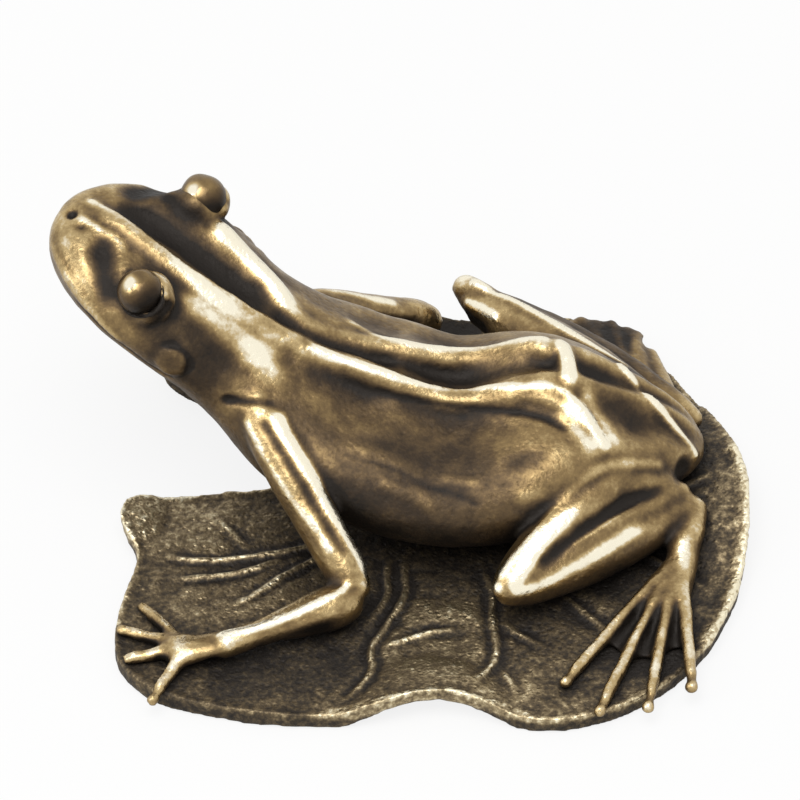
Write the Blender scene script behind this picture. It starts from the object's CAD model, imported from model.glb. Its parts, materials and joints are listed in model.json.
"""Looks of a cast brass frog that crouches on a lily pad.

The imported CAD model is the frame. The frog's skin is sculpted from its solids into one flowing casting, the leaf is
sculpted from its solid with curved veins and a rolled rim, and each gets an aged brass finish whose patina follows
the hollows and whose shine follows the ridges.
"""

from __future__ import annotations

import json
import logging
import math
from dataclasses import dataclass, replace
from enum import Enum

import bmesh
import bpy
import numpy as np
from mathutils import Matrix, Vector, noise
from mathutils.bvhtree import BVHTree

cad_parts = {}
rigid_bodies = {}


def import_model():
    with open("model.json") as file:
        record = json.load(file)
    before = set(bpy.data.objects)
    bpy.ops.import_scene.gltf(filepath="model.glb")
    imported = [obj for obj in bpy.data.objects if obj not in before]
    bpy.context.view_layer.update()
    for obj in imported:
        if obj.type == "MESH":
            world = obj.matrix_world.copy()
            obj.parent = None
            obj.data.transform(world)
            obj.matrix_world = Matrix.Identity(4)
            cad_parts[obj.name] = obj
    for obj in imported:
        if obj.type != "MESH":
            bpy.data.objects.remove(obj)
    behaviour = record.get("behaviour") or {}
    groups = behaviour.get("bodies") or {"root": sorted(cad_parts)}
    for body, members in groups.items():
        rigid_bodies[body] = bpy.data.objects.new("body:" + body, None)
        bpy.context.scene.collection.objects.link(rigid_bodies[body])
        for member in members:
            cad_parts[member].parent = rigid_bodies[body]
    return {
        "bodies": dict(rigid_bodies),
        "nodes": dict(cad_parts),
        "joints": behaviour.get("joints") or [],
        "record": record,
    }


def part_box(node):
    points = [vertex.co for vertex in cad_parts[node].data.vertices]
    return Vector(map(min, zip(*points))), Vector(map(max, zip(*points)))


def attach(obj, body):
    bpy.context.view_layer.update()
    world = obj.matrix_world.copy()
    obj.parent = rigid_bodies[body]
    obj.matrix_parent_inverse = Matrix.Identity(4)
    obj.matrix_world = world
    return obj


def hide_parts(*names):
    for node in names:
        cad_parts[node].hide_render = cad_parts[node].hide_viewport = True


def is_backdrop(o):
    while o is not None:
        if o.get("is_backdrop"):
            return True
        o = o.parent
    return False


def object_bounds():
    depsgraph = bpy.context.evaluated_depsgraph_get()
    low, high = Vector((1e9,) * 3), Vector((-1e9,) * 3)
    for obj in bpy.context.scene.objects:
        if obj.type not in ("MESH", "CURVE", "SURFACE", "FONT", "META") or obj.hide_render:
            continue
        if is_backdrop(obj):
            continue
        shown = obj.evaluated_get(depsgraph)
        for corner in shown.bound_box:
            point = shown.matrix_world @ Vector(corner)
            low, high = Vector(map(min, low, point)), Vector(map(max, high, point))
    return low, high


log = logging.getLogger("frog")
MM = 0.001
WHITE = (1.0, 1.0, 1.0, 1.0)
NOISE_MEAN = 0.5

Place = tuple[float, float]
Point = tuple[float, float, float]
Colour = tuple[float, float, float]


# Shader graphs


class Signal:
    """A value socket that Python's operators work on."""

    def __init__(self, graph: Graph, socket: bpy.types.NodeSocket) -> None:
        """Wraps a socket of a graph."""
        self.graph = graph
        self.socket = socket

    def _with(self, operation: str, first: object, second: object) -> Signal:
        """Adds one Math node and returns its result."""
        return self.graph.out("ShaderNodeMath", {"operation": operation}, {0: first, 1: second})

    def __add__(self, other: object) -> Signal:
        """Sum."""
        return self._with("ADD", self, other)

    def __radd__(self, other: object) -> Signal:
        """Sum, from the right."""
        return self._with("ADD", other, self)

    def __sub__(self, other: object) -> Signal:
        """Difference."""
        return self._with("SUBTRACT", self, other)

    def __rsub__(self, other: object) -> Signal:
        """Difference, from the right."""
        return self._with("SUBTRACT", other, self)

    def __mul__(self, other: object) -> Signal:
        """Product."""
        return self._with("MULTIPLY", self, other)

    def __rmul__(self, other: object) -> Signal:
        """Product, from the right."""
        return self._with("MULTIPLY", other, self)

    def smaller(self, other: object) -> Signal:
        """The smaller of the two values."""
        return self._with("MINIMUM", self, other)

    def larger(self, other: object) -> Signal:
        """The larger of the two values."""
        return self._with("MAXIMUM", self, other)

    def within(self, low: float, high: float) -> Signal:
        """The value stretched so that low becomes 0 and high becomes 1, and held between them."""
        inputs = {"Value": self, "From Min": low, "From Max": high}
        return self.graph.out("ShaderNodeMapRange", {"interpolation_type": "SMOOTHSTEP"}, inputs)


class Graph:
    """The node tree of a material or world, built by one method for every kind of node."""

    def __init__(self, owner: bpy.types.Material | bpy.types.World) -> None:
        """Empties the owner's node tree.

        Args:
            owner: the new material or world.
        """
        self.owner = owner
        owner.use_nodes = True
        self.tree = owner.node_tree
        self.tree.nodes.clear()

    def node(self, kind: str, settings: dict[str, object], inputs: dict[object, object]) -> bpy.types.Node:
        """Adds a node.

        Args:
            kind: the node's type name.
            settings: its properties, and for a ramp its stops as (place, colour) pairs.
            inputs: a number, colour, Signal or socket for each input named or numbered.

        Returns:
            The node.
        """
        made = self.tree.nodes.new(kind)
        for key, value in settings.items():
            if key == "stops":
                self._set_stops(made.color_ramp, value)
            else:
                setattr(made, key, value)
        for key, value in inputs.items():
            if isinstance(value, Signal):
                value = value.socket
            if isinstance(value, bpy.types.NodeSocket):
                self.tree.links.new(value, made.inputs[key])
            else:
                made.inputs[key].default_value = value
        return made

    @staticmethod
    def _set_stops(ramp: bpy.types.ColorRamp, stops: list[tuple[float, Colour]]) -> None:
        """Gives a ramp its stops.

        Args:
            ramp: the ramp, with two stops as Blender makes it.
            stops: the place and colour of each stop, in order.
        """
        while len(ramp.elements) < len(stops):
            ramp.elements.new(1.0)
        for element, (place, colour) in zip(ramp.elements, stops):
            element.position = place
            element.color = (*colour, 1.0)

    def out(self, kind: str, settings: dict[str, object], inputs: dict[object, object], output: object = 0) -> Signal:
        """Adds a node and returns one of its outputs as a Signal."""
        return Signal(self, self.node(kind, settings, inputs).outputs[output])

    def attribute(self, name: str) -> Signal:
        """A number stored on the piece's own points."""
        return self.out("ShaderNodeAttribute", {"attribute_name": name}, {}, "Fac")

    def coordinates(self) -> bpy.types.NodeSocket:
        """The piece's own coordinates, in metres."""
        return self.node("ShaderNodeTexCoord", {}, {}).outputs["Object"]

    def grain(self, size: float, detail: float, roughness: float = 0.6) -> Signal:
        """Noise whose grains are about the given size in millimetres."""
        inputs = {"Vector": self.coordinates(), "Scale": 1.0 / (size * MM), "Detail": detail, "Roughness": roughness}
        return self.out("ShaderNodeTexNoise", {}, inputs, "Fac")

    def cells(self, size: float) -> Signal:
        """Distance to the nearest of a cloud of points the given size apart in millimetres."""
        inputs = {"Vector": self.coordinates(), "Scale": 1.0 / (size * MM)}
        return self.out("ShaderNodeTexVoronoi", {"feature": "F1"}, inputs, "Distance")


# Finishes


@dataclass(frozen=True)
class AgedBrass:
    """Cast brass with dark patina in its hollows and rubbed metal on its ridges.

    The ramp's colours run from the deepest patina to the most rubbed metal. Sizes and heights are in millimetres.
    """

    name: str
    ramp: tuple[tuple[float, Colour], ...]
    bias: float
    ridge_gain: float
    hollow_gain: float
    shade_gain: float
    mottle_gain: float
    mottle_size: float
    speck_gain: float
    grain_size: float
    grain_height: float
    pit_size: float
    pit_depth: float
    rough_dark: float
    rough_bright: float
    metal_dark: float
    metal_bright: float = 1.0
    speck_roughness: float = 0.12
    pit_edges: tuple[float, float] = (0.05, 0.42)
    bright_edges: tuple[float, float] = (0.15, 0.80)
    mottle_detail: float = 5.0
    speck_detail: float = 3.0

    def material(self) -> bpy.types.Material:
        """Builds the finish as a node material.

        Returns:
            The material.
        """
        graph = Graph(bpy.data.materials.new(self.name))
        ridge = graph.attribute("ridge")
        hollow = graph.attribute("hollow")
        shade = graph.attribute("shade")
        rub = graph.attribute("rub")
        mottle = graph.grain(self.mottle_size, self.mottle_detail) - NOISE_MEAN
        grain = graph.grain(self.grain_size, self.speck_detail)
        speck = grain - NOISE_MEAN
        wear = ridge * self.ridge_gain - hollow * self.hollow_gain - shade * self.shade_gain + rub
        wear = wear + mottle * self.mottle_gain + speck * self.speck_gain + self.bias
        wear = wear.larger(0.0).smaller(1.0)
        ramp = graph.node("ShaderNodeValToRGB", {"stops": list(self.ramp)}, {0: wear})
        pits = graph.cells(self.pit_size).within(*self.pit_edges)
        height = grain * self.grain_height + pits * self.pit_depth
        bump = graph.node("ShaderNodeBump", {}, {"Height": height, "Distance": MM, "Strength": 1.0})
        bright = wear.within(*self.bright_edges)
        roughness = bright * (self.rough_bright - self.rough_dark) + self.rough_dark + speck * self.speck_roughness
        metallic = bright * (self.metal_bright - self.metal_dark) + self.metal_dark
        inputs = {"Base Color": ramp.outputs["Color"], "Roughness": roughness, "Metallic": metallic}
        inputs["Normal"] = bump.outputs["Normal"]
        shader = graph.node("ShaderNodeBsdfPrincipled", {}, inputs)
        graph.node("ShaderNodeOutputMaterial", {}, {"Surface": shader.outputs["BSDF"]})
        return graph.owner


FROG_RAMP = (
    (0.00, (0.012, 0.008, 0.005)),
    (0.22, (0.042, 0.026, 0.013)),
    (0.44, (0.118, 0.076, 0.036)),
    (0.64, (0.262, 0.178, 0.080)),
    (0.82, (0.520, 0.385, 0.190)),
    (1.00, (0.930, 0.865, 0.690)),
)

PAD_RAMP = (
    (0.00, (0.014, 0.010, 0.007)),
    (0.25, (0.044, 0.032, 0.019)),
    (0.48, (0.128, 0.094, 0.053)),
    (0.70, (0.320, 0.248, 0.145)),
    (0.86, (0.580, 0.480, 0.300)),
    (1.00, (0.880, 0.800, 0.590)),
)

FROG_FINISH = AgedBrass(
    name="frog_brass", ramp=FROG_RAMP, bias=0.46,
    ridge_gain=0.42, hollow_gain=0.60, shade_gain=0.62,
    mottle_gain=0.50, mottle_size=1.7, speck_gain=0.30,
    grain_size=0.28, grain_height=0.042, pit_size=0.55, pit_depth=0.020,
    rough_dark=0.55, rough_bright=0.26, metal_dark=0.55,
)

PAD_FINISH = AgedBrass(
    name="pad_brass", ramp=PAD_RAMP, bias=0.46,
    ridge_gain=0.34, hollow_gain=0.55, shade_gain=0.62,
    mottle_gain=0.62, mottle_size=1.9, speck_gain=1.20,
    grain_size=0.34, grain_height=0.090, pit_size=0.45, pit_depth=0.045,
    rough_dark=0.62, rough_bright=0.36, metal_dark=0.45,
)

EYE_FINISH = AgedBrass(
    name="eye_brass", ramp=FROG_RAMP, bias=0.36,
    ridge_gain=0.25, hollow_gain=0.60, shade_gain=0.55,
    mottle_gain=0.40, mottle_size=1.2, speck_gain=0.10,
    grain_size=0.25, grain_height=0.010, pit_size=0.50, pit_depth=0.008,
    rough_dark=0.42, rough_bright=0.18, metal_dark=0.7,
)


# Sculpting


class Side(Enum):
    """The frog's sides."""

    LEFT = "left"
    RIGHT = "right"


class Profile(Enum):
    """How a stroke's height falls from its path to its edge."""

    ROUND = "round"
    CREST = "crest"
    PLATEAU = "plateau"

    def fall(self, t: np.ndarray) -> np.ndarray:
        """A stroke's height share at a distance share.

        Args:
            t: distance from the path as a share of the stroke's half width, 0 to 1.

        Returns:
            The height share, 0 to 1.
        """
        if self is Profile.CREST:
            return (1.0 - t) ** 1.6
        if self is Profile.PLATEAU:
            return eased((1.0 - t) / 0.6)
        return (1.0 - t * t) ** 2


def eased(share: np.ndarray) -> np.ndarray:
    """Shares held between 0 and 1, with soft ends."""
    share = np.clip(share, 0.0, 1.0)
    return share * share * (3.0 - 2.0 * share)


@dataclass(frozen=True)
class Stroke:
    """A ridge (height above 0) or furrow (below 0) pressed along a path of points, all in millimetres.

    A rub above 0 polishes the metal along it, and one below 0 leaves patina there. A path of (x, y) places is seen
    from above and reaches the top face at any height. The ends run out over the taper's share of the width.
    """

    path: tuple[Point, ...] | tuple[Place, ...]
    width: float
    height: float
    rub: float = 0.0
    profile: Profile = Profile.ROUND
    taper: float = 0.7


def smooth_path(path: np.ndarray, steps: int = 5) -> np.ndarray:
    """A path with more points on the smooth curve through its points.

    Args:
        path: the points, in order.
        steps: how many runs each of the path's runs becomes.

    Returns:
        The finer path, or the same one if it has fewer than three points.
    """
    if len(path) < 3:
        return path
    closed = np.allclose(path[0], path[-1])
    before = path[-2] if closed else 2 * path[0] - path[1]
    after = path[1] if closed else 2 * path[-1] - path[-2]
    knots = np.vstack([before, path, after])
    out = []
    for i in range(1, len(knots) - 2):
        a, b, c, d = knots[i - 1 : i + 3]
        for t in np.arange(steps) / steps:
            bend = 2 * b + (c - a) * t + (2 * a - 5 * b + 4 * c - d) * t**2 + (3 * b - a - 3 * c + d) * t**3
            out.append(bend / 2)
    return np.vstack([*out, path[-1]])


class Skin:
    """A mesh whose points are moved as a sculptor would, kept as arrays of millimetres."""

    RELAX = 0.60
    RESTORE = 0.40
    FACES_UP = 0.2
    MARK_SCALES = ((6, 0.045, 0.25), (30, 0.22, 0.40), (110, 0.75, 0.35))
    MARK_RELAX = 0.8
    HOLLOW_GAIN = 1.4
    LEVEL_SLOPE = 0.5
    SHADE_RAYS = 18
    SHADE_SEED = 7
    SHADE_REACH = 7.0
    SHADE_GAP = 0.12

    def __init__(self, piece: bpy.types.Object, top_wear: float = 0.22) -> None:
        """Reads the piece's points.

        Args:
            piece: the object.
            top_wear: how much more rubbed the faces are that look up.
        """
        self.piece = piece
        self.mesh = piece.data
        self.top_wear = top_wear
        count = len(self.mesh.vertices)
        flat = np.zeros(count * 3)
        self.mesh.vertices.foreach_get("co", flat)
        self.points = flat.reshape(-1, 3) / MM
        self.rub = np.zeros(count)
        edges = np.zeros(len(self.mesh.edges) * 2, np.int64)
        self.mesh.edges.foreach_get("vertices", edges)
        self.edges = edges.reshape(-1, 2)
        self.degree = np.bincount(self.edges.ravel(), minlength=count).astype(float)

    def store(self) -> None:
        """Writes the points back."""
        self.mesh.vertices.foreach_set("co", (self.points * MM).ravel())
        self.mesh.update()

    def keep_within(self, low: Vector, high: Vector, gap: float = 0.01) -> None:
        """Holds the points inside a box given in metres, a small gap in millimetres from its sides."""
        self.points = np.clip(self.points, np.array(low) / MM + gap, np.array(high) / MM - gap)

    def normals(self) -> np.ndarray:
        """Stores the points and returns their outward directions."""
        self.store()
        flat = np.zeros(len(self.points) * 3)
        self.mesh.vertices.foreach_get("normal", flat)
        return flat.reshape(-1, 3)

    def spread(self, values: np.ndarray) -> np.ndarray:
        """Averages values over the mesh.

        Args:
            values: one number or one row of numbers for each point.

        Returns:
            Each point's mean of its neighbours' values.
        """
        a, b = self.edges[:, 0], self.edges[:, 1]
        if values.ndim == 1:
            total = np.bincount(a, values[b], len(values)) + np.bincount(b, values[a], len(values))
            return total / self.degree
        columns = [self.spread(values[:, k]) for k in range(values.shape[1])]
        return np.stack(columns, 1)

    def smooth(self, rounds: int) -> None:
        """Relaxes the points towards their neighbours without shrinking the whole.

        Args:
            rounds: how many times.
        """
        for _ in range(rounds):
            self.points = self.points + self.RELAX * (self.spread(self.points) - self.points)
            self.points = self.points - self.RESTORE * (self.spread(self.points) - self.points)

    def press(self, strokes: list[Stroke]) -> None:
        """Presses strokes into the skin, each along the direction that the skin faces.

        Args:
            strokes: the ridges and furrows, in order.
        """
        facing = self.normals()
        for stroke in strokes:
            path = smooth_path(np.array(stroke.path))
            places = self.points[:, : path.shape[1]]
            low, high = path.min(0) - stroke.width, path.max(0) + stroke.width
            near = np.nonzero(((places > low) & (places < high)).all(1))[0]
            if path.shape[1] == 2:
                near = near[facing[near, 2] > self.FACES_UP]
            if len(near) == 0:
                continue
            away, along = self._distance(places[near], path)
            t = np.clip(away / (stroke.width / 2), 0.0, 1.0)
            ends = 1.0
            if stroke.taper and len(path) > 1 and stroke.path[0] != stroke.path[-1]:
                length = np.linalg.norm(np.diff(path, axis=0), axis=1).sum()
                ends = eased(np.minimum(along, 1.0 - along) * length / (stroke.taper * stroke.width))
            share = stroke.profile.fall(t) * (t < 1.0) * ends
            self.points[near] += facing[near] * (share * stroke.height)[:, None]
            self.rub[near] += share * stroke.rub

    @staticmethod
    def _distance(points: np.ndarray, path: np.ndarray) -> tuple[np.ndarray, np.ndarray]:
        """Measures from points to a path.

        Args:
            points: the points.
            path: the path's points.

        Returns:
            Each point's distance to the path, and how far along the path its nearest place is, 0 to 1.
        """
        if len(path) == 1:
            return np.linalg.norm(points - path[0], axis=1), np.full(len(points), 0.5)
        runs = np.linalg.norm(np.diff(path, axis=0), axis=1)
        start = np.concatenate([[0.0], np.cumsum(runs)])
        best = np.full(len(points), np.inf)
        along = np.zeros(len(points))
        for i, run in enumerate(runs):
            step = path[i + 1] - path[i]
            share = np.clip((points - path[i]) @ step / (run * run), 0.0, 1.0)
            gap = np.linalg.norm(points - (path[i] + share[:, None] * step), axis=1)
            closer = gap < best
            best = np.where(closer, gap, best)
            along = np.where(closer, (start[i] + share * run) / start[-1], along)
        return best, along

    def roughen(self, size: float, height: float, seed: float) -> None:
        """Gives the skin soft unevenness, as a hand-worked wax has.

        Args:
            size: the lumps' size.
            height: how far they stand out.
            seed: which of many such skins.
        """
        facing = self.normals()
        shift = Vector((seed, seed * 1.7, seed * 2.3))
        lumps = np.array([noise.noise(Vector(p) / size + shift) for p in self.points])
        self.points += facing * (lumps * height)[:, None]

    def mark(self, *others: Skin) -> None:
        """Stores where the skin is ridged, hollow, shaded or rubbed, for its finish to read.

        Args:
            others: the skins that shade this one.
        """
        facing = self.normals()
        self.rub += self.top_wear * (facing[:, 2] - self.LEVEL_SLOPE)
        ridge, hollow = np.zeros(len(self.points)), np.zeros(len(self.points))
        for rounds, reach, part in self.MARK_SCALES:
            soft = self.points.copy()
            for _ in range(rounds):
                soft = soft + self.MARK_RELAX * (self.spread(soft) - soft)
            proud = ((self.points - soft) * facing).sum(1) / reach
            ridge += part * np.clip(proud, 0.0, 1.0)
            hollow += part * np.clip(-proud * self.HOLLOW_GAIN, 0.0, 1.0)
        shade = self._shade(facing, others)
        for name, values in (("ridge", ridge), ("hollow", hollow), ("shade", shade), ("rub", self.rub)):
            layer = self.mesh.attributes.new(name, "FLOAT", "POINT")
            layer.data.foreach_set("value", np.clip(values, -1.0, 1.0).astype(np.float32))
        log.info("%s: %d points marked", self.piece.name, len(self.points))

    def _shade(self, facing: np.ndarray, others: tuple[Skin, ...]) -> np.ndarray:
        """Measures how closed in each point is.

        Args:
            facing: the points' outward directions.
            others: the skins that shade this one.

        Returns:
            How much of each point's surroundings within reach is covered, 0 to 1.
        """
        trees = [BVHTree.FromPolygons(*skin.as_polygons()) for skin in (self, *others)]
        rays = np.random.default_rng(self.SHADE_SEED).normal(size=(self.SHADE_RAYS, 3))
        rays /= np.linalg.norm(rays, axis=1)[:, None]
        covered = np.zeros(len(self.points))
        starts = self.points + facing * self.SHADE_GAP
        for i, start in enumerate(starts):
            origin = Vector(start)
            out = Vector(facing[i])
            total = 0.0
            for ray in rays:
                way = out + Vector(ray)
                hit = 0.0
                for tree in trees:
                    gap = tree.ray_cast(origin, way, self.SHADE_REACH)[3]
                    if gap is not None:
                        hit = max(hit, 1.0 - gap / self.SHADE_REACH)
                total += hit
            covered[i] = total / len(rays)
        for _ in range(2):
            covered = 0.5 * covered + 0.5 * self.spread(covered)
        return covered

    def as_polygons(self) -> tuple[list[Vector], list[tuple[int, ...]]]:
        """The skin's points and faces, for ray casting."""
        self.store()
        return [Vector(p) for p in self.points], [tuple(f.vertices) for f in self.mesh.polygons]


@dataclass(frozen=True)
class Roll:
    """A roll of wax laid along a path, with its half width at each point, all in millimetres."""

    path: tuple[Point, ...]
    radii: tuple[float, ...]

    def add_to(self, build: bmesh.types.BMesh) -> None:
        """Adds the roll as overlapping balls that a remesh joins.

        Args:
            build: what the balls are added to.
        """
        points = smooth_path(np.array(self.path), 6)
        shares = np.linspace(0.0, 1.0, len(points))
        radii = np.interp(shares, np.linspace(0.0, 1.0, len(self.radii)), self.radii)
        for point, radius in zip(points, radii):
            place = Matrix.Translation(Vector(point) * MM)
            bmesh.ops.create_icosphere(build, subdivisions=2, radius=radius * MM, matrix=place)


def copy_of(
    frame: dict, name: str, nodes: tuple[str, ...], swell: float = 0.0, clay: tuple[Roll, ...] = ()
) -> bpy.types.Object:
    """One new object with merged copies of CAD nodes.

    Args:
        name: the new object's name.
        nodes: the nodes to copy.
        swell: how far each copy's surface moves outwards, in millimetres.
        clay: rolls of wax to lay on the copies.

    Returns:
        The object, linked to the scene.
    """
    build = bmesh.new()
    for node in nodes:
        part = bmesh.new()
        part.from_mesh(frame["nodes"][node].data)
        bmesh.ops.remove_doubles(part, verts=part.verts, dist=1e-6)
        if swell:
            part.normal_update()
            for vert in part.verts:
                vert.co += vert.normal * swell * MM
        shell = bpy.data.meshes.new("shell")
        part.to_mesh(shell)
        part.free()
        build.from_mesh(shell)
        bpy.data.meshes.remove(shell)
    for roll in clay:
        roll.add_to(build)
    return linked(name, build)


def linked(name: str, build: bmesh.types.BMesh) -> bpy.types.Object:
    """Turns a bmesh into an object, and frees it.

    Args:
        name: the new object's name.
        build: its shape.

    Returns:
        The object, with smooth faces, linked to the scene.
    """
    mesh = bpy.data.meshes.new(name)
    build.to_mesh(mesh)
    build.free()
    piece = bpy.data.objects.new(name, mesh)
    bpy.context.scene.collection.objects.link(piece)
    mesh.shade_smooth()
    return piece


def remeshed(piece: bpy.types.Object, voxel: float) -> bpy.types.Object:
    """Rebuilds a piece as one even closed mesh.

    Args:
        piece: the object, whose shells may overlap.
        voxel: the mesh's pitch in millimetres.

    Returns:
        The same object.
    """
    modifier = piece.modifiers.new("even", "REMESH")
    modifier.mode = "VOXEL"
    modifier.voxel_size = voxel * MM
    depsgraph = bpy.context.evaluated_depsgraph_get()
    mesh = bpy.data.meshes.new_from_object(piece.evaluated_get(depsgraph))
    piece.modifiers.clear()
    old = piece.data
    piece.data = mesh
    mesh.name = piece.name
    bpy.data.meshes.remove(old)
    mesh.shade_smooth()
    return piece


# The frog's ridges and furrows, in millimetres of the frame. Those of its face are the left half's.


CREST = ((-20.4, 8.9, 19.1), (-19.2, 8.0, 19.3), (-17.4, 6.6, 18.9), (-15.5, 5.1, 18.1), (-13.6, 4.1, 17.1),
         (-11.7, 3.6, 15.9), (-9.8, 3.2, 14.8), (-8.2, 2.8, 13.7), (-6.2, 2.2, 12.6), (-3.6, 1.5, 11.8),
         (-1.2, 1.1, 11.1), (1.2, 0.9, 10.4), (3.4, 1.0, 10.0), (5.4, 0.9, 10.0), (7.8, 0.5, 10.5), (10.0, 0.4, 10.5),
         (11.6, -0.5, 9.7), (12.7, -1.9, 8.7), (13.5, -3.1, 7.9))

HEAD = (
    Stroke(CREST[:9], 1.1, 0.18, 0.24, Profile.CREST),
    Stroke(((-18.4, 8.8, 19.1), (-17.0, 8.4, 18.8), (-15.0, 7.6, 18.0), (-12.9, 6.5, 17.0), (-10.8, 5.5, 15.8),
        (-9.3, 4.6, 14.8), (-8.0, 4.1, 13.9)), 3.4, -0.36, -0.32),
    Stroke(((-18.6, 9.6, 19.0), (-16.0, 9.2, 18.4), (-14.4, 9.0, 18.0), (-12.8, 8.4, 17.3)), 2.8, 0.0, -0.16),
    Stroke(((-13.0, 9.4, 17.6), (-11.8, 8.6, 16.9), (-10.6, 7.8, 16.1), (-8.9, 6.4, 15.2), (-7.6, 5.3, 14.2),
        (-5.6, 4.4, 13.0)), 3.5, 0.2, 0.46),
    Stroke(((-17.0, 10.2, 18.6), (-15.2, 9.9, 18.3), (-13.6, 9.4, 18.3), (-12.3, 9.6, 17.9)), 3.0, 0.0, -0.44,
        taper=0.3),
    Stroke(((-15.2, 4.4, 18.0), (-13.4, 3.5, 17.0), (-11.8, 2.9, 15.9), (-10.2, 2.3, 14.6)), 1.7, 0.0, 0.36),
    Stroke(((-14.6, 3.1, 17.3), (-13.7, 2.6, 16.7), (-12.6, 2.2, 16.0), (-11.0, 1.7, 14.8), (-9.4, 1.3, 13.5),
        (-7.2, 0.2, 11.7)), 3.8, 0.12, 0.38),
    Stroke(((-10.8, 1.2, 14.4), (-9.4, 0.6, 13.2), (-8.2, -0.1, 12.2), (-7.0, -1.2, 11.2)), 2.9, 0.05, 0.26),
    Stroke(((-9.4, 2.3, 14.2), (-7.4, 1.7, 12.8), (-5.4, 1.4, 12.0), (-3.4, 1.1, 11.5)), 1.8, 0.0, 0.28),
    Stroke(((-16.6, 4.9, 18.9), (-15.2, 4.2, 18.2), (-13.8, 3.5, 17.4)), 2.0, 0.0, 0.12),
    Stroke(((-16.4, -0.4, 17.4), (-14.8, 0.0, 15.9), (-13.2, -0.3, 14.2), (-11.4, -0.9, 12.4), (-10.2, -1.4, 11.4)),
        5.6, 0.0, -0.18, taper=0.4),
    Stroke(((-16.6, -0.8, 15.6), (-15.4, -0.7, 14.8), (-13.8, -0.7, 13.8), (-12.0, -1.0, 12.6), (-10.6, -1.4, 11.6)),
        4.4, 0.0, -0.18, Profile.PLATEAU, taper=0.4),
    Stroke(((-14.7, 0.8, 18.0), (-15.0, -0.2, 17.3), (-15.9, -0.8, 16.7), (-17.0, -0.8, 16.5)), 2.0, -0.28, -0.6,
        taper=0.3),
    Stroke(((-15.0, 1.9, 17.6), (-13.8, 1.0, 16.2), (-12.0, 0.2, 14.4), (-10.2, -0.8, 12.6)), 2.4, -0.08, -0.12),
    Stroke(((-20.9, 7.3, 19.2), (-19.5, 6.2, 19.2), (-18.3, 5.4, 19.0), (-17.4, 4.4, 18.9)), 1.0, 0.12, 0.24),
    Stroke(((-21.7, 6.0, 18.8), (-20.9, 3.8, 18.1), (-19.9, 2.0, 16.8)), 1.3, 0.05, 0.12),
    Stroke(((-16.2, -0.5, 16.6), (-15.2, -0.5, 16.1), (-14.0, -0.3, 15.9)), 1.3, -0.18, -0.15),
    Stroke(((-21.1, 7.5, 19.1),), 0.95, -0.55, -0.9),
)

FACE = (
    Stroke(((-19.9, 5.6, 19.0), (-19.3, 4.7, 18.8), (-19.0, 3.2, 18.4), (-18.7, 1.9, 17.7), (-18.3, 0.8, 16.4)), 2.7,
        -0.36, -0.5),
    Stroke(((-22.3, 6.9, 17.2), (-21.5, 4.2, 17.0), (-20.4, 2.3, 16.1), (-19.0, 1.0, 15.0), (-17.6, 0.3, 13.9),
        (-16.0, -0.2, 12.8), (-14.2, -0.4, 12.2)), 0.6, -0.25, -0.25),
    Stroke(((-22.4, 6.9, 17.8), (-21.6, 4.0, 17.6), (-20.5, 2.1, 16.7), (-19.1, 0.9, 15.6), (-17.7, 0.2, 14.5)), 1.1,
        0.12, 0.1),
    Stroke(((-15.6, 0.9, 18.3), (-14.2, 0.9, 17.2), (-12.9, 0.4, 16.0), (-12.2, -0.3, 14.8), (-12.3, -1.0, 13.4)),
        1.3, 0.16, -0.04),
)

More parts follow.
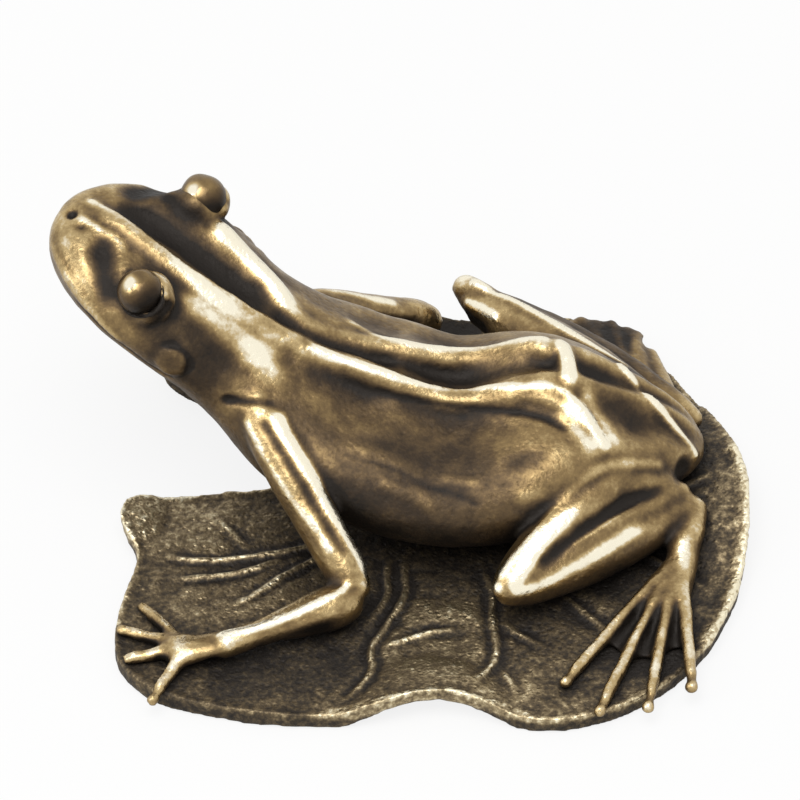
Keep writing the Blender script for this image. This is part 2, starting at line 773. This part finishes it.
BACK = (
    Stroke(CREST[8:], 1.1, 0.16, 0.26),
    Stroke(((-1.9, 0.2, 10.5), (0.2, -0.1, 10.0), (2.5, -0.3, 9.6), (4.8, -0.5, 9.4), (7.2, -0.8, 9.5),
        (9.5, -1.4, 9.4), (10.9, -2.3, 8.8)), 0.7, -0.14, -0.2),
    Stroke(((-3.8, 5.7, 11.7), (-1.0, 4.4, 11.3), (1.3, 4.0, 10.8), (4.3, 4.3, 10.3), (7.2, 4.4, 10.9),
        (10.0, 4.1, 11.0)), 1.1, 0.12, 0.2),
    Stroke(((-1.2, 2.9, 11.0), (1.0, 2.8, 10.4), (3.4, 2.9, 9.9), (5.6, 2.7, 10.0), (7.8, 2.5, 10.4),
        (9.8, 2.5, 10.5)), 2.4, 0.06, 0.08),
    Stroke(((10.2, 4.6, 11.1), (10.7, 3.4, 11.1), (10.9, 2.2, 11.0), (10.9, 1.0, 10.8), (10.8, 0.4, 10.6)), 1.6, 0.12,
        0.75),
    Stroke(((10.6, 0.2, 10.3), (11.7, -0.9, 9.5), (12.7, -2.1, 8.5), (13.4, -3.3, 7.8)), 4.2, 0.1, 0.44,
        Profile.PLATEAU, taper=0.3),
    Stroke(((12.4, 3.9, 9.9), (12.9, 2.2, 9.6), (13.9, 1.2, 8.9), (15.2, 0.4, 7.6), (16.8, -0.4, 6.2)), 4.0, -0.25,
        -0.14),
    Stroke(((-3.8, -4.2, 9.1), (-1.9, -4.7, 8.7), (-0.4, -5.0, 8.4), (1.6, -5.8, 7.7), (3.3, -6.2, 7.4),
        (5.2, -6.9, 6.9)), 0.45, -0.05, -0.07),
    Stroke(((-5.4, -3.6, 9.8), (-1.0, -4.8, 8.6), (3.4, -5.6, 8.0), (7.6, -5.2, 7.8), (9.6, -4.6, 7.8)), 8.4, 0.0,
        -0.34),
    Stroke(((-1.9, -5.6, 8.0), (0.5, -6.3, 7.3), (2.8, -6.9, 6.7)), 1.6, 0.12, 0.04),
    Stroke(((-5.4, -4.6, 8.8), (-3.6, -6.0, 7.6), (0.0, -7.4, 6.0), (3.6, -7.8, 5.2), (6.6, -7.6, 5.0)), 4.2, 0.0,
        -0.3),
    Stroke(((-8.4, -1.0, 11.6), (-6.6, -2.0, 10.8), (-4.6, -3.4, 9.6), (-3.0, -4.6, 8.8)), 3.0, 0.0, -0.22),
    Stroke(((-3.0, -1.4, 10.2), (0.0, -2.6, 9.6), (4.0, -3.4, 9.0), (7.0, -3.6, 8.9)), 4.0, 0.0, -0.08),
    Stroke(((7.0, -6.4, 7.1), (8.4, -6.2, 7.1), (9.6, -5.6, 7.3)), 1.6, 0.07, 0.16),
    Stroke(((6.2, -4.6, 8.4), (8.0, -4.4, 8.5), (9.8, -3.8, 8.5)), 2.2, -0.06, -0.2),
    Stroke(((-3.6, -3.0, 9.7), (-1.6, -3.4, 9.5), (0.8, -3.8, 9.2), (3.2, -4.2, 8.9), (5.2, -4.4, 8.6)), 1.6, -0.06,
        -0.14),
    Stroke(((2.2, -5.2, 8.2), (3.8, -5.6, 7.9), (5.6, -5.6, 7.8)), 1.2, 0.06, 0.14),
    Stroke(((-1.9, -4.1, 9.0), (1.0, -4.9, 8.5), (3.6, -5.7, 7.8)), 1.5, 0.0, 0.12),
    Stroke(((-11.6, -1.2, 11.0), (-10.4, -1.8, 11.4), (-9.0, -2.0, 11.6), (-7.8, -1.8, 11.2)), 0.9, -0.25, -0.3),
)

LIMBS = (
    Stroke(((14.0, 4.2, 9.1), (14.9, 3.4, 8.6), (16.4, 2.0, 7.7), (17.8, 1.2, 5.9), (19.2, 0.5, 4.0)), 0.9, 0.26, 0.5,
        taper=0.3),
    Stroke(((12.6, 6.4, 8.8), (14.8, 5.6, 7.6), (17.2, 4.2, 5.8)), 3.6, 0.0, -0.34),
    Stroke(((-8.2, -1.9, 10.9), (-7.3, -3.6, 9.9), (-6.0, -5.2, 8.6), (-4.7, -6.7, 7.3), (-3.3, -8.2, 5.9),
        (-2.4, -9.6, 4.4), (-2.6, -10.6, 3.8)), 1.7, 0.14, 0.8),
    Stroke(((-9.0, -2.7, 10.8), (-7.5, -4.8, 9.5), (-5.8, -6.9, 7.7), (-4.3, -8.7, 6.1), (-3.4, -9.8, 5.0)), 1.0,
        -0.16, -0.2),
    Stroke(((-10.1, -2.3, 10.7), (-8.7, -4.4, 9.2), (-7.0, -6.7, 7.6), (-5.2, -8.6, 6.1), (-4.2, -9.9, 5.0)), 1.0,
        0.12, 0.2),
    Stroke(((-3.0, -10.9, 4.2), (-4.2, -12.0, 3.9), (-6.4, -13.2, 3.6), (-9.2, -14.2, 3.1), (-12.0, -14.6, 2.7)), 0.9,
        0.14, 0.4),
    Stroke(((-3.4, -12.3, 3.0), (-6.0, -14.1, 2.5), (-9.4, -15.3, 2.1)), 1.3, 0.0, -0.2),
    Stroke(((-2.4, -10.8, 3.4),), 2.4, 0.16, 0.05),
    Stroke(((6.1, -11.6, 3.8),), 1.5, 0.22, 0.26),
    Stroke(((6.2, -11.0, 4.3), (7.8, -9.3, 5.5), (9.7, -7.0, 6.5), (11.7, -5.0, 7.2), (13.2, -3.8, 7.4),
        (15.4, -2.6, 6.5), (17.2, -1.6, 5.4)), 1.2, 0.12, 0.16),
    Stroke(((11.9, -6.2, 6.8), (10.4, -7.7, 6.4), (9.0, -9.2, 5.8), (7.9, -10.8, 4.9), (7.5, -11.7, 4.2),
        (8.9, -11.6, 4.1), (11.1, -10.2, 4.4), (13.1, -8.6, 4.6), (14.8, -7.0, 4.6), (16.2, -5.4, 4.5)), 1.6, 0.06,
        0.62, taper=1.6),
    Stroke(((8.6, -10.6, 4.9), (10.6, -8.9, 5.4), (12.5, -7.1, 5.7), (14.6, -5.2, 5.4), (17.0, -3.0, 4.7)), 1.5,
        -0.18, -0.2),
    Stroke(((9.4, -10.4, 4.9), (11.4, -8.4, 5.2), (13.6, -6.5, 5.2), (15.8, -4.4, 4.9)), 0.45, 0.12, 0.34),
    Stroke(((7.6, -12.7, 2.7), (11.0, -11.5, 2.9), (14.0, -9.4, 3.0), (16.4, -7.4, 3.0)), 1.7, 0.0, -0.12),
    Stroke(((18.4, -0.8, 4.3),), 2.4, -0.35, -0.5),
    Stroke(((4.6, 14.9, 6.3), (6.0, 13.8, 6.5), (7.6, 12.6, 6.6), (9.7, 10.5, 6.8), (12.1, 8.2, 7.0),
        (13.4, 7.1, 6.9), (14.8, 5.9, 6.7)), 0.9, 0.24, 0.46, taper=0.3),
    Stroke(((6.4, 15.4, 5.6), (9.4, 13.6, 5.6), (12.6, 11.4, 5.2), (16.2, 9.0, 4.8), (19.4, 6.2, 4.0)), 4.2, 0.0,
        -0.36),
    Stroke(((3.9, 13.9, 5.6), (5.2, 12.6, 6.0), (6.6, 11.2, 6.2)), 1.0, 0.15, 0.42),
    Stroke(((3.4, 14.2, 4.2), (4.6, 12.8, 4.6), (6.0, 11.2, 5.0)), 1.8, -0.25, -0.55),
    Stroke(((10.6, 15.8, 2.0), (13.0, 15.4, 2.0), (16.0, 13.0, 2.0)), 7.0, 0.0, -0.46, taper=0.3),
    Stroke(((-3.8, -12.8, 2.4), (-6.6, -14.6, 2.0), (-9.6, -15.6, 1.8)), 2.0, -0.22, -0.1),
    Stroke(((18.4, -5.6, 3.2), (18.3, -7.4, 2.8), (18.2, -8.8, 2.5)), 1.4, 0.0, 0.24),
    Stroke(((-5.9, 10.0, 9.6), (-3.9, 10.9, 8.8), (-2.0, 11.6, 7.7), (0.0, 12.4, 6.4)), 1.0, 0.16, 0.28),
    Stroke(((-5.2, 9.2, 8.9), (-3.0, 10.2, 7.7), (-0.6, 11.3, 6.2), (1.4, 12.4, 4.8)), 1.2, -0.2, -0.34),
)


def mirrored(strokes: list[Stroke], left: Vector, right: Vector) -> list[Stroke]:
    """Strokes reflected in the plane midway between two points.

    Args:
        strokes: the strokes of one half.
        left: a point of that half.
        right: the same point of the other half.

    Returns:
        The other half's strokes.
    """
    middle = (left + right) / 2
    way = (right - left).normalized()
    out = []
    for stroke in strokes:
        points = [Vector(p) for p in stroke.path]
        path = tuple(tuple(p - way * 2 * (p - middle).dot(way)) for p in points)
        out.append(replace(stroke, path=path))
    return out


def ring(centre: Vector, axis: Vector, radius: float, count: int = 24) -> tuple[Point, ...]:
    """A closed circle of points.

    Args:
        centre: its middle.
        axis: the direction that it goes round.
        radius: its radius.
        count: how many points it has.

    Returns:
        The points, the first one again at the end.
    """
    first = axis.orthogonal().normalized()
    turns = [Matrix.Rotation(2 * math.pi * i / count, 3, axis) for i in range(count)]
    points = [tuple(centre + turn @ first * radius) for turn in turns]
    return (*points, points[0])


@dataclass(frozen=True)
class Digits:
    """The fingers or toes of one hand or foot, from their root to their tips."""

    root: Point
    tips: tuple[Point, ...]
    knuckles: tuple[float, ...]
    width: float
    ridge_shares: tuple[float, ...] = (0.12, 0.4, 0.7, 0.96)
    gap_shares: tuple[float, ...] = (0.3, 0.6, 0.85)
    ridge_lift: float = 0.3
    knuckle_lift: float = 0.2
    tip_width: float = 1.7

    def strokes(self) -> list[Stroke]:
        """Makes the marks of the digits.

        Returns:
            A ridge along each digit, a dull tip, a swelling at each knuckle, and a furrow between each two digits.
        """
        made = []
        root = Vector(self.root)
        for tip in self.tips:
            end = Vector(tip)
            line = [root.lerp(end, share) + Vector((0.0, 0.0, self.ridge_lift)) for share in self.ridge_shares]
            made.append(Stroke(tuple(map(tuple, line)), self.width, 0.10, -0.06))
            made.append(Stroke((tip,), self.tip_width, -0.10, -0.22))
            for share in self.knuckles:
                place = root.lerp(end, share) + Vector((0.0, 0.0, self.knuckle_lift))
                made.append(Stroke((tuple(place),), self.width * 1.6, 0.05, 0.06))
        for first, second in zip(self.tips, self.tips[1:]):
            end = (Vector(first) + Vector(second)) / 2
            line = [root.lerp(end, share) for share in self.gap_shares]
            made.append(Stroke(tuple(map(tuple, line)), self.width * 1.3, -0.12, -0.70))
        return made


# Wax laid on the CAD's solids where the limbs, brows and web flow together


CLAY = (
    Roll(((8.2, -10.4, 3.6), (10.6, -8.6, 4.0), (13.4, -6.2, 4.2), (16.2, -3.6, 4.0), (18.0, -2.2, 3.6)), (0.9, 1.2,
        1.3, 1.2, 0.8)),
    Roll(((12.6, -4.2, 5.8), (14.8, -3.2, 5.2), (16.8, -2.2, 4.4)), (1.3, 1.3, 1.0)),
    Roll(((18.6, -4.6, 2.2), (18.2, -6.8, 1.9), (17.9, -9.0, 1.6)), (1.0, 1.1, 1.0)),
    Roll(((5.0, 13.8, 4.4), (8.6, 11.4, 4.4), (12.6, 8.8, 4.0)), (0.8, 0.9, 0.8)),
    Roll(((4.3, 15.2, 5.4), (5.4, 14.3, 5.6), (7.2, 13.0, 5.2)), (0.95, 0.9, 0.8)),
    Roll(((14.4, 10.4, 1.6), (12.6, 13.4, 1.4), (10.8, 15.8, 1.2)), (0.9, 0.85, 0.65)),
    Roll(((14.8, 10.4, 1.6), (13.8, 13.4, 1.4), (12.8, 15.9, 1.2)), (0.9, 0.85, 0.65)),
    Roll(((15.4, 10.2, 1.6), (15.4, 12.8, 1.4), (14.9, 15.2, 1.2)), (0.9, 0.85, 0.65)),
    Roll(((17.4, 8.0, 1.8), (17.0, 10.4, 1.4), (16.4, 13.4, 1.1)), (0.9, 0.8, 0.55)),
    Roll(((10.2, 4.1, 10.4), (10.7, 2.6, 10.2), (10.8, 1.0, 10.0)), (0.75, 0.85, 0.8)),
    Roll(((-12.9, 10.9, 17.7), (-12.2, 10.7, 17.3)), (1.65, 1.4)),
    Roll(((-14.4, 10.3, 17.6), (-13.4, 9.7, 17.7)), (1.0, 0.9)),
    Roll(((-10.4, -14.1, 2.0), (-12.0, -14.4, 1.9), (-13.6, -14.5, 1.6)), (0.7, 0.8, 0.75)),
    Roll(((-20.4, 6.5, 18.5),), (0.6,)),
    Roll(((-19.5, 9.2, 18.5),), (0.6,)),
)

HANDS_AND_FEET = (
    Digits((-13.7, -14.5, 1.8), ((-16.6, -10.1, 1.3), (-17.9, -12.2, 1.3), (-18.2, -15.1, 1.3), (-15.9, -18.6, 1.3)),
           (0.45, 0.75), 0.9),
    Digits((-9.2, 16.8, 1.8), ((-12.0, 13.2, 1.3), (-14.0, 15.6, 1.3), (-13.8, 18.8, 1.3), (-11.6, 20.5, 1.3)),
           (0.45, 0.75), 0.9),
    Digits((17.7, -7.1, 2.1), ((10.5, -17.0, 1.4), (12.7, -19.6, 1.4), (15.8, -19.2, 1.4), (18.6, -17.4, 1.4)),
           (0.30, 0.55, 0.78), 1.0),
    Digits((15.2, 9.5, 2.1), ((9.7, 16.1, 1.4), (11.7, 16.6, 1.4), (13.8, 16.3, 1.4), (15.4, 15.2, 1.4)),
           (0.35, 0.68), 1.0),
)


# The frog


@dataclass
class FrogSkin:
    """The frog's skin, from snout to toes, as one casting, in millimetres."""

    pitch: float = 0.2
    swell: float = 0.04
    lid_width: float = 4.5
    lid_depth: float = 0.75
    lid_furrow: float = 1.9
    eardrum_radius: float = 1.15
    nodes: tuple[str, ...] = (
        "head_and_trunk", "left_eardrum", "right_eardrum",
        "left_upper_arm", "left_forearm", "left_hand",
        "right_upper_arm", "right_forearm", "right_hand",
        "left_thigh", "left_shank", "left_hind_foot",
        "right_thigh", "right_shank", "right_hind_foot",
    )

    def build(self, frame: dict, low: Vector, high: Vector) -> Skin:
        """Sculpts the skin.

        Args:
            low: the low corner of the CAD's box.
            high: its high corner.

        Returns:
            The sculpted skin.
        """
        piece = remeshed(copy_of(frame, "frog_skin", self.nodes, self.swell, CLAY), self.pitch)
        skin = Skin(piece)
        skin.smooth(12)
        left, right = (self._middle(f"{side.value}_eye") for side in Side)
        halves = [*FACE, *self._eyelid(left, right), *self._eardrum(left - right)]
        skin.press([*halves, *mirrored(halves, left, right)])
        skin.press([*HEAD, *BACK, *LIMBS])
        for digits in HANDS_AND_FEET:
            skin.press(digits.strokes())
        skin.smooth(3)
        skin.roughen(1.8, 0.06, 3.0)
        skin.roughen(0.8, 0.025, 6.0)
        skin.keep_within(low, high)
        skin.store()
        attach(piece, "root")
        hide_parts(*self.nodes)
        return skin

    @staticmethod
    def _middle(node: str) -> Vector:
        """The middle of a CAD node, in millimetres."""
        low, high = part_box(node)
        return (low + high) / 2 / MM

    def _eyelid(self, left: Vector, right: Vector) -> list[Stroke]:
        """Makes room for the left eyeball.

        Args:
            left: the left eye's middle.
            right: the right eye's middle.

        Returns:
            The socket, and the furrow round its lid.
        """
        out = (left - right).normalized()
        axis = (out + Vector((-0.35, 0.0, 0.75))).normalized()
        furrow = ring(left - axis * 0.7, axis, self.lid_furrow)
        return [
            Stroke((tuple(left + axis * 0.4),), self.lid_width, -self.lid_depth, -0.20),
            Stroke(furrow, 0.9, -0.12, -0.20),
        ]

    def _eardrum(self, out: Vector) -> list[Stroke]:
        """Marks the left eardrum.

        Args:
            out: the direction that it faces.

        Returns:
            Its face, and the furrow round it.
        """
        middle = self._middle("left_eardrum")
        edge = ring(middle, out.normalized(), self.eardrum_radius)
        return [Stroke((tuple(middle),), 2.6, 0.0, 0.10), Stroke(edge, 0.8, -0.22, -0.34)]


# The leaf's veins, and the places where its deck is rubbed or dull, seen from above


VEINS = (
    ((0.3, -5.0), (0.3, -7.6), (0.3, -9.2), (-0.9, -11.9), (-1.9, -14.1), (-1.8, -16.2), (-2.9, -18.1), (-4.2, -19.2)),
    ((-0.8, -5.0), (-0.8, -7.6), (-0.9, -9.4), (-2.5, -12.6)),
    ((-1.9, -14.1), (-0.4, -13.6), (2.1, -12.5), (4.7, -12.2)),
    ((5.0, -5.5), (5.9, -8.9), (5.9, -10.7), (6.1, -12.8), (6.1, -15.0), (5.2, -16.7), (4.4, -18.2)),
    ((6.1, -15.0), (7.1, -17.2), (7.7, -19.0)),
    ((6.2, -10.8), (6.8, -11.9), (8.3, -13.2), (10.0, -14.4)),
    ((-15.9, -5.2), (-13.2, -5.9), (-9.5, -5.5), (-6.0, -4.6), (-2.6, -3.2)),
    ((-15.6, -7.5), (-13.5, -7.6), (-9.5, -6.7), (-7.0, -5.0)),
    ((-11.4, -10.3), (-9.6, -9.3), (-7.7, -7.5), (-5.8, -6.0), (-3.4, -4.2)),
    ((-12.6, -1.6), (-11.3, -2.8), (-10.0, -4.6), (-9.3, -5.7)),
    ((9.5, -8.0), (12.2, -11.2), (14.2, -13.4)),
    ((9.0, -3.0), (14.0, -4.4), (18.0, -7.0), (19.8, -9.0)),
    ((18.0, -7.0), (19.8, -6.6)),
    ((10.0, 1.0), (15.0, 0.6), (18.6, 0.0), (20.8, 1.4)),
    ((18.6, 0.0), (20.9, -1.8)),
    ((9.0, 5.0), (13.0, 7.6), (16.6, 10.0), (18.6, 10.4)),
    ((14.6, 8.8), (16.0, 12.2)),
    ((5.0, 6.5), (7.0, 11.0), (8.2, 15.0)),
    ((7.0, 11.0), (5.0, 14.4)),
    ((0.0, 6.0), (-1.5, 11.0), (-4.5, 15.5), (-8.0, 19.0)),
    ((-1.5, 11.0), (1.0, 15.5)),
    ((-3.0, 13.0), (-9.0, 15.0), (-14.0, 14.5)),
    ((-6.0, 14.2), (-9.0, 10.4), (-10.8, 9.0)),
)


PATCHES = (
    Stroke(((0.4, -14.4), (2.2, -15.6), (4.0, -15.2)), 6.4, 0.05, 0.2, Profile.PLATEAU, taper=0.0),
    Stroke(((6.0, -17.6), (7.2, -17.9)), 4.4, 0.04, 0.22, Profile.PLATEAU, taper=0.0),
    Stroke(((0.8, -10.6), (2.6, -10.8), (4.4, -11.0)), 3.0, 0.05, 0.16, Profile.PLATEAU, taper=0.0),
    Stroke(((-16.6, -3.4), (-15.0, -1.8), (-12.6, -3.0)), 6.0, 0.04, 0.2, Profile.PLATEAU, taper=0.0),
    Stroke(((-14.0, -6.4), (-12.0, -6.0), (-8.6, -6.4)), 4.0, 0.0, 0.08, Profile.PLATEAU, taper=0.0),
    Stroke(((-13.6, -10.0), (-10.9, -9.8), (-8.2, -8.6)), 4.0, 0.05, 0.14, Profile.PLATEAU, taper=0.0),
    Stroke(((-10.6, -17.2), (-7.0, -16.6), (-4.4, -15.6)), 5.0, -0.04, -0.2, Profile.PLATEAU, taper=0.0),
    Stroke(((9.6, -9.0), (12.4, -10.0)), 3.6, 0.04, 0.16, Profile.PLATEAU, taper=0.0),
    Stroke(((12.8, -14.0), (16.2, -14.8), (18.2, -13.4)), 6.4, 0.0, -0.6, taper=0.3),
    Stroke(((2.2, 15.0), (5.6, 15.2)), 4.6, 0.0, -0.6, taper=0.2),
    Stroke(((20.2, -10.0), (20.4, -5.0), (20.2, -1.0), (19.2, 3.6)), 4.4, 0.05, 0.1, Profile.PLATEAU),
    Stroke(((19.1, -14.2), (21.1, -9.9), (22.1, -5.3), (22.3, -0.4), (21.4, 4.2)), 1.8, 0.14, 0.22),
    Stroke(((-18.6, -11.5), (-18.4, -15.0), (-16.4, -18.0), (-13.0, -19.6), (-9.0, -20.4), (-5.0, -20.4)), 2.6, 0.0,
        -0.34, Profile.PLATEAU),
    Stroke(((-5.0, -19.8), (-1.3, -19.4), (2.2, -18.7), (5.4, -19.2), (8.6, -20.1)), 0.7, 0.05, 0.36),
)


@dataclass
class Leaf:
    """The lily pad: a waved leaf with a rolled rim and raised veins. Lengths are in millimetres.

    Each wave of the rim is its middle's place as shares of the leaf's half length and half width, its half width as
    a share of the half length, and its height as a share of the wave lift.
    """

    pitch: float = 0.19
    deck: float = 1.1
    vein_width: float = 0.8
    vein_height: float = 0.30
    waves: tuple[tuple[float, float, float, float], ...] = (
        (-0.020, -0.960, 0.27, 0.75),
        (1.020, 0.060, 0.42, 1.00),
        (-1.020, -0.060, 0.18, 0.60),
        (-0.120, 0.880, 0.24, 0.80),
        (-0.920, 0.820, 0.22, 0.50),
    )
    wave_lift: float = 1.5
    half_length: float = 20.5
    half_width: float = 20.8
    shift: Place = (2.16, -0.27)
    deck_below: float = 0.25
    deck_above: float = 0.60
    deck_slope: float = 0.3
    vein_rise: float = 0.05
    wall_slope: float = 0.6
    rim_height: float = 0.22
    rim_rounds: int = 14
    rim_fade: float = 0.985
    rim_gain: float = 1.6
    rim_loss: float = 0.25
    rim_bottom: float = 0.75
    rim_rub: float = 0.02
    wall_rub: float = -0.45

    def build(self, frame: dict, low: Vector, high: Vector) -> Skin:
        """Sculpts the leaf.

        Args:
            low: the low corner of the CAD's box.
            high: its high corner.

        Returns:
            The sculpted leaf.
        """
        piece = remeshed(copy_of(frame, "lily_pad_leaf", ("lily_pad",)), self.pitch)
        skin = Skin(piece, top_wear=0.0)
        self._iron(skin)
        skin.smooth(10)
        self._roll_rim(skin)
        furrows = [Stroke(vein, self.vein_width * 2.8, -0.14, -0.22, taper=1.5) for vein in VEINS]
        veins = [Stroke(vein, self.vein_width, self.vein_height, 0.40, taper=4.0) for vein in VEINS]
        skin.press([*PATCHES, *furrows, *veins])
        skin.smooth(1)
        skin.roughen(2.4, 0.10, 9.0)
        skin.roughen(0.7, 0.05, 5.0)
        skin.points[:, 2] = np.maximum(skin.points[:, 2], 0.0)
        skin.keep_within(low, high, 0.0)
        skin.store()
        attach(piece, "root")
        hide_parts("lily_pad")
        return skin

    def _lift(self, places: np.ndarray) -> np.ndarray:
        """Works out the rim's waves.

        Args:
            places: places seen from above.

        Returns:
            How far the waves raise the deck at each place.
        """
        lift = np.zeros(len(places))
        for along, across, width, height in self.waves:
            middle = np.array([along * self.half_length + self.shift[0], across * self.half_width + self.shift[1]])
            half = width * self.half_length
            rise = height * self.wave_lift
            radius = (half * half + rise * rise) / (2 * rise)
            away = np.linalg.norm(places - middle, axis=1)
            cap = np.sqrt(np.maximum(radius * radius - away * away, 0.0)) - (radius - rise)
            lift = np.maximum(lift, cap)
        return lift

    def _iron(self, skin: Skin) -> None:
        """Flattens the deck to its waves, so that curved veins can be raised on it.

        Args:
            skin: the leaf's skin.
        """
        facing = skin.normals()
        height = skin.points[:, 2]
        level = self.deck + self._lift(skin.points[:, :2])
        top = (height > level - self.deck_below) & (height < level + self.deck_above)
        inner = top & ((facing[:, 2] > self.deck_slope) | (height > level + self.vein_rise))
        skin.points[inner, 2] = level[inner]

    def _roll_rim(self, skin: Skin) -> None:
        """Raises the leaf's edge into a low rounded lip.

        Args:
            skin: the leaf's skin.
        """
        facing = skin.normals()
        near = (np.abs(facing[:, 2]) < self.wall_slope).astype(float)
        for _ in range(self.rim_rounds):
            near = np.maximum(near * self.rim_fade, skin.spread(near))
        near = np.clip(near * self.rim_gain - self.rim_loss, 0.0, 1.0)
        upper = skin.points[:, 2] > self.rim_bottom
        skin.points[:, 2] += np.where(upper, near * self.rim_height, 0.0)
        skin.rub += near * np.where(upper, self.rim_rub, self.wall_rub)


@dataclass
class Eyeball:
    """A brass eyeball set in its brow, grown from the CAD's and shifted in millimetres.

    It bulges along its gaze, which points outwards on its own side, and is rubbed or dull along two directions.
    """

    side: Side
    swell: float
    shift: Point
    gaze: Point = (-0.35, 0.75, 0.55)
    lit: Point = (-0.45, -0.35, 0.80)
    dull: Point = (0.45, -0.80, -0.10)
    radius: float = 1.2

    def build(self, lowest: Vector, highest: Vector) -> Skin:
        """Makes the eyeball where the CAD holds it.

        Args:
            lowest: the low corner of the CAD's box.
            highest: its high corner.

        Returns:
            The eyeball's skin.
        """
        node = f"{self.side.value}_eye"
        low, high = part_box(node)
        build = bmesh.new()
        bmesh.ops.create_icosphere(build, subdivisions=5, radius=(high.x - low.x) / 2 * self.swell)
        bmesh.ops.translate(build, verts=build.verts, vec=(low + high) / 2 + Vector(self.shift) * MM)
        piece = linked(f"{self.side.value}_eyeball", build)
        skin = Skin(piece)
        middle = Vector(skin.points.mean(axis=0))
        gaze = Vector(self.gaze)
        if self.side is Side.LEFT:
            gaze.y = -gaze.y
        strokes = []
        marks = ((gaze, 2.2, 0.10, 0.0), (Vector(self.dull), 4.0, 0.0, -0.50), (Vector(self.lit), 1.9, 0.0, 0.55))
        for way, *mark in marks:
            place = middle + way.normalized() * self.swell * self.radius
            strokes.append(Stroke((tuple(place),), *mark))
        skin.press(strokes)
        skin.roughen(0.9, 0.03, 1.0)
        skin.keep_within(lowest, highest)
        skin.store()
        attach(piece, "root")
        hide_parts(node)
        return skin


# The studio


@dataclass(frozen=True)
class Lamp:
    """A soft square lamp, in metres and watts."""

    name: str
    place: Point
    size: float
    power: float

    def build(self, middle: Vector) -> None:
        """Hangs the lamp.

        Args:
            middle: the point that it faces.
        """
        data = bpy.data.lights.new(self.name, "AREA")
        data.size = self.size
        data.energy = self.power
        lamp = bpy.data.objects.new(self.name, data)
        lamp.location = self.place
        lamp.rotation_euler = (middle - Vector(self.place)).to_track_quat("-Z", "Y").to_euler()
        bpy.context.scene.collection.objects.link(lamp)


@dataclass
class Studio:
    """Pale floor, soft lights and the camera, in metres and degrees."""

    elevation: float = 43.5
    distance: float = 1.0
    view_width: float = 0.0515
    sensor_width: float = 36.0
    floor_size: float = 2.4
    floor_colour: Colour = (0.93, 0.93, 0.92)
    floor_glow: float = 0.84
    ambient: float = 0.55
    lamps: tuple[Lamp, ...] = (
        Lamp("sky_panel", (-0.05, -0.12, 0.42), 0.34, 0.95),
        Lamp("left_panel", (-0.40, -0.16, 0.22), 0.22, 0.32),
    )

    def build(self, middle: Vector) -> None:
        """Sets up the world, the floor, the lights and the camera.

        Args:
            middle: the point that the camera looks at.
        """
        self._world()
        self._floor()
        for lamp in self.lamps:
            lamp.build(middle)
        self._camera(middle)
        bpy.context.scene.view_settings.view_transform = "Standard"

    def _world(self) -> None:
        """A white surround for the camera and for reflections, and a plain level for the rest."""
        graph = Graph(bpy.data.worlds.new("studio"))
        rays = graph.node("ShaderNodeLightPath", {}, {}).outputs
        seen = Signal(graph, rays["Is Camera Ray"]).larger(rays["Is Glossy Ray"])
        strength = seen * (1.0 - self.ambient) + self.ambient
        background = graph.node("ShaderNodeBackground", {}, {"Color": WHITE, "Strength": strength})
        graph.node("ShaderNodeOutputWorld", {}, {"Surface": background.outputs[0]})
        bpy.context.scene.world = graph.owner

    def _floor(self) -> None:
        """A plain pale floor at the height of the leaf's underside."""
        build = bmesh.new()
        bmesh.ops.create_grid(build, x_segments=1, y_segments=1, size=self.floor_size / 2)
        floor = linked("floor", build)
        graph = Graph(bpy.data.materials.new("floor_paper"))
        rays = graph.node("ShaderNodeLightPath", {}, {}).outputs
        diffuse = graph.node("ShaderNodeBsdfDiffuse", {}, {"Color": (*self.floor_colour, 1.0)})
        white = graph.node("ShaderNodeEmission", {}, {"Color": WHITE, "Strength": 1.0})
        share = Signal(graph, rays["Is Camera Ray"]) * self.floor_glow
        mix = graph.node("ShaderNodeMixShader", {}, {0: share, 1: diffuse.outputs[0], 2: white.outputs[0]})
        graph.node("ShaderNodeOutputMaterial", {}, {"Surface": mix.outputs[0]})
        floor.data.materials.append(graph.owner)
        floor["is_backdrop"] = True

    def _camera(self, middle: Vector) -> None:
        """A long lens that looks down at the frog's left side.

        Args:
            middle: the point that it looks at.
        """
        data = bpy.data.cameras.new("camera")
        data.sensor_width = self.sensor_width
        data.lens = self.sensor_width * self.distance / self.view_width
        data.clip_start = 0.01
        data.clip_end = 10.0
        camera = bpy.data.objects.new("camera", data)
        tilt = math.radians(self.elevation)
        back = Vector((0.0, -math.cos(tilt), math.sin(tilt)))
        camera.location = middle + back * self.distance
        camera.rotation_euler = (-back).to_track_quat("-Z", "Y").to_euler()
        bpy.context.scene.collection.objects.link(camera)
        bpy.context.scene.camera = camera


def main() -> None:
    """Builds every piece in order and reports each."""
    logging.basicConfig(level=logging.INFO)
    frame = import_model()
    low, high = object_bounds()
    frog = FrogSkin().build(frame, low, high)
    log.info("frog skin: %d triangles", len(frog.points) * 2)
    leaf = Leaf().build(frame, low, high)
    log.info("leaf: %d triangles", len(leaf.points) * 2)
    eyeballs = (Eyeball(Side.LEFT, 1.18, (-0.15, 0.15, 0.1)), Eyeball(Side.RIGHT, 1.24, (0.5, -0.4, -0.3)))
    eyes = [eyeball.build(low, high) for eyeball in eyeballs]
    log.info("eyeballs: %d", len(eyes))
    frog.mark(leaf, *eyes)
    leaf.mark(frog)
    for eye in eyes:
        eye.mark(frog)
    frog.mesh.materials.append(FROG_FINISH.material())
    leaf.mesh.materials.append(PAD_FINISH.material())
    eye_metal = EYE_FINISH.material()
    for eye in eyes:
        eye.mesh.materials.append(eye_metal)
    studio = Studio()
    studio.build((low + high) / 2)
    log.info("studio: %d lamps", len(studio.lamps))
    low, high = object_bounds()


if __name__ == "__main__":
    main()
